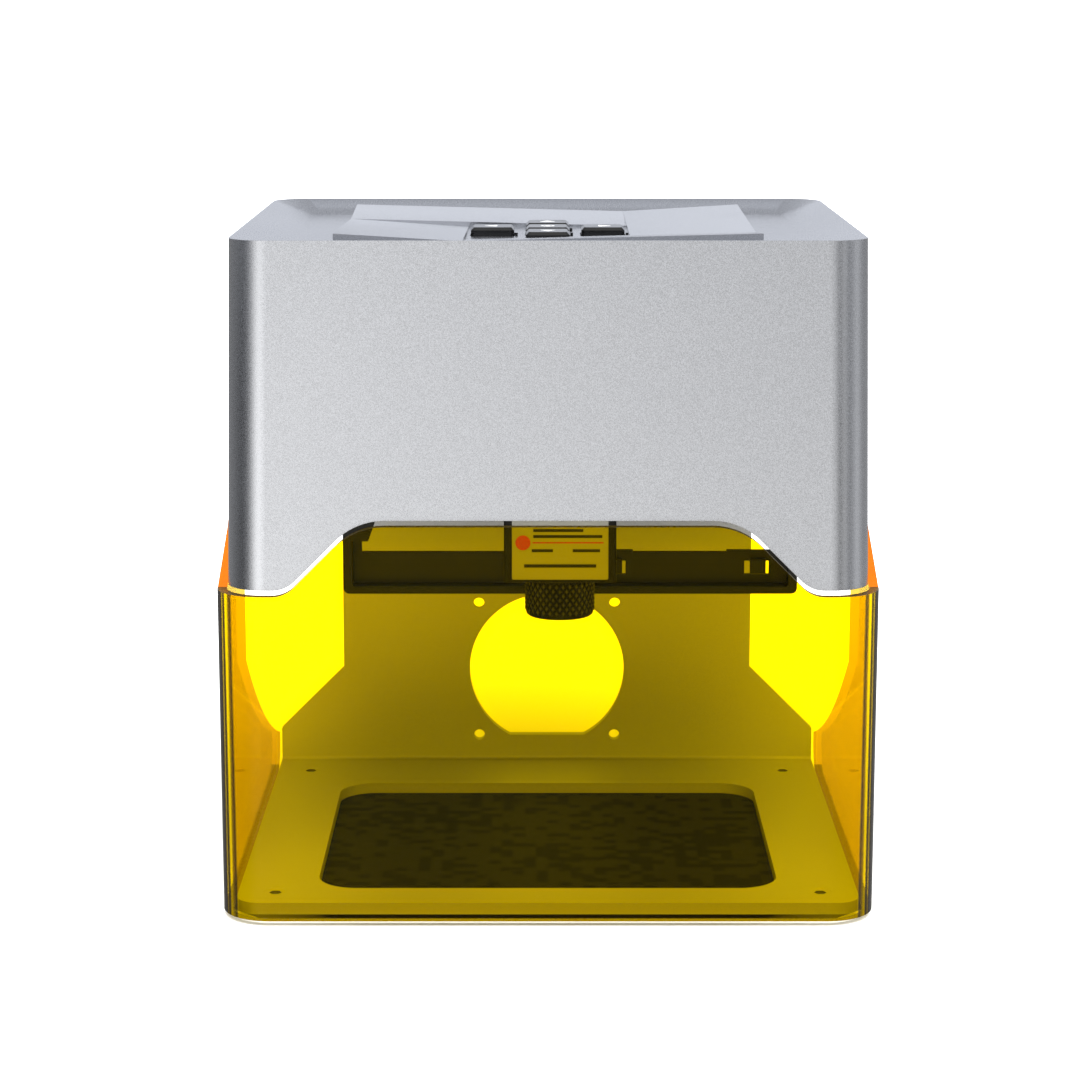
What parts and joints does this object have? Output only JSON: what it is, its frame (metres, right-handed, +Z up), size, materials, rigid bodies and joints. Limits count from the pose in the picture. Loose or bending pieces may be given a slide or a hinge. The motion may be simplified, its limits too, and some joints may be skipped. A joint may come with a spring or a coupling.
{
  "type": "desktop laser cutter",
  "caption": "Small desktop laser cutter: silver hood with keys on top, amber lift-up visor, laser head on a two-axis screw stage over a flat bed.",
  "frame": {"origin": "on the table surface, under the middle of the machine's bounding box", "axes": "+X to the machine's right seen from the front, +Y towards its back, +Z up"},
  "size_m": [0.1686, 0.1448, 0.1711],
  "materials": {
    "hood_silver": "fine bead-blasted, clear anodised",
    "plate_silver": "bead-blasted sheet, clear anodised",
    "amber_acrylic": "clear amber acrylic with polished faces",
    "work_black": "dark matt coating, scorched in places",
    "foot_rubber": "soft black rubber",
    "dark_steel": "black oxide screws",
    "bright_steel": "ground bright steel",
    "rail_black": "black oxide ground rod",
    "nylon_white": "natural nylon",
    "key_black": "glossy black keys with pale marks",
    "board_green": "green solder mask",
    "moulded_black": "moulded black plastic",
    "motor_can": "zinc plated can",
    "bush_bronze": "sintered bronze",
    "nut_brass": "turned brass",
    "beam_black": "satin black coating on pressed sheet",
    "laser_black": "black anodised, knurled on the ring",
    "label_face": "pale printed plate with a plain red mark",
    "lens_glass": "coated lens"
  },
  "bodies": {
    "chassis": {"chassis_plate": "plate_silver", "work_plate": "work_black", "foot_pads": "foot_rubber", "foot_screws": "dark_steel", "hood_shell": "hood_silver", "hood_screws": "dark_steel", "control_panel": "hood_silver", "indicator_lamps": "key_black", "control_board": "board_green", "board_standoffs": "moulded_black", "tact_switches": "moulded_black", "dc_jack": "moulded_black", "usb_socket": "moulded_black", "pivot_screws": "bright_steel", "pivot_washers": "nylon_white", "pivot_nuts": "bright_steel", "front_rod_holders": "moulded_black", "rear_rod_holders": "moulded_black", "y_rods": "bright_steel", "y_motor": "motor_can"},
    "visor": {"visor_cover": "amber_acrylic"},
    "y_drive": {"y_screw": "bright_steel"},
    "y_carriage": {"y_slide_left": "moulded_black", "y_slide_right": "moulded_black", "y_bushings": "bush_bronze", "y_nut": "nut_brass", "beam_hangers": "beam_black", "x_beam": "beam_black", "x_blocks": "moulded_black", "x_rods": "rail_black", "x_motor": "motor_can"},
    "x_drive": {"x_screw": "bright_steel"},
    "laser_head": {"x_slider": "moulded_black", "x_bushings": "bush_bronze", "x_nut": "nut_brass", "laser_heatsink": "laser_black", "laser_label": "label_face", "lens_barrel": "laser_black", "focus_lens": "lens_glass", "fan_frame": "moulded_black"},
    "focus": {"focus_ring": "laser_black"},
    "fan": {"fan_rotor": "moulded_black"},
    "key_up": {"button_up": "key_black"},
    "key_down": {"button_down": "key_black"},
    "key_left": {"button_left": "key_black"},
    "key_right": {"button_right": "key_black"},
    "key_ok": {"button_ok": "key_black"}
  },
  "joints": [
    {"name": "visor_hinge", "type": "hinge", "parent": "chassis", "child": "visor", "pos_m": [0, 0.0556, 0.1435], "axis": [-1, 0, 0], "range_deg": [0, 100]},
    {"name": "y_travel", "type": "slide", "parent": "chassis", "child": "y_carriage", "axis": [0, 1, 0], "range_m": [-0.0455, 0.0345]},
    {"name": "y_screw_turn", "type": "hinge", "parent": "chassis", "child": "y_drive", "pos_m": [-0.038, 0, 0.132], "axis": [0, 1, 0], "range_deg": [-5462, 4142]},
    {"name": "x_travel", "type": "slide", "parent": "y_carriage", "child": "laser_head", "axis": [1, 0, 0], "range_m": [-0.0433, 0.0367]},
    {"name": "x_screw_turn", "type": "hinge", "parent": "y_carriage", "child": "x_drive", "pos_m": [0, 0.0266, 0.099], "axis": [1, 0, 0], "range_deg": [-5198, 4406]},
    {"name": "focus_turn", "type": "hinge", "parent": "laser_head", "child": "focus", "pos_m": [0.0033, -0.0004, 0.0697], "axis": [0, 0, 1], "range_deg": [-150, 150]},
    {"name": "fan_spin", "type": "hinge", "parent": "laser_head", "child": "fan", "pos_m": [0.0033, -0.0004, 0.113], "axis": [0, 0, 1], "continuous": true},
    {"name": "press_up", "type": "slide", "parent": "chassis", "child": "key_up", "axis": [0, 0, -1], "range_m": [0, 0.0008], "stiffness_N_per_m": 1800, "springref_m": -0.0004},
    {"name": "press_down", "type": "slide", "parent": "chassis", "child": "key_down", "axis": [0, 0, -1], "range_m": [0, 0.0008], "stiffness_N_per_m": 1800, "springref_m": -0.0004},
    {"name": "press_left", "type": "slide", "parent": "chassis", "child": "key_left", "axis": [0, 0, -1], "range_m": [0, 0.0008], "stiffness_N_per_m": 1800, "springref_m": -0.0004},
    {"name": "press_right", "type": "slide", "parent": "chassis", "child": "key_right", "axis": [0, 0, -1], "range_m": [0, 0.0008], "stiffness_N_per_m": 1800, "springref_m": -0.0004},
    {"name": "press_ok", "type": "slide", "parent": "chassis", "child": "key_ok", "axis": [0, 0, -1], "range_m": [0, 0.0008], "stiffness_N_per_m": 1800, "springref_m": -0.0004}
  ],
  "couplings": [
    {"joint": "y_screw_turn", "follows": "y_travel", "rad_per_m": 2094.4},
    {"joint": "x_screw_turn", "follows": "x_travel", "rad_per_m": 2094.4}
  ]
}
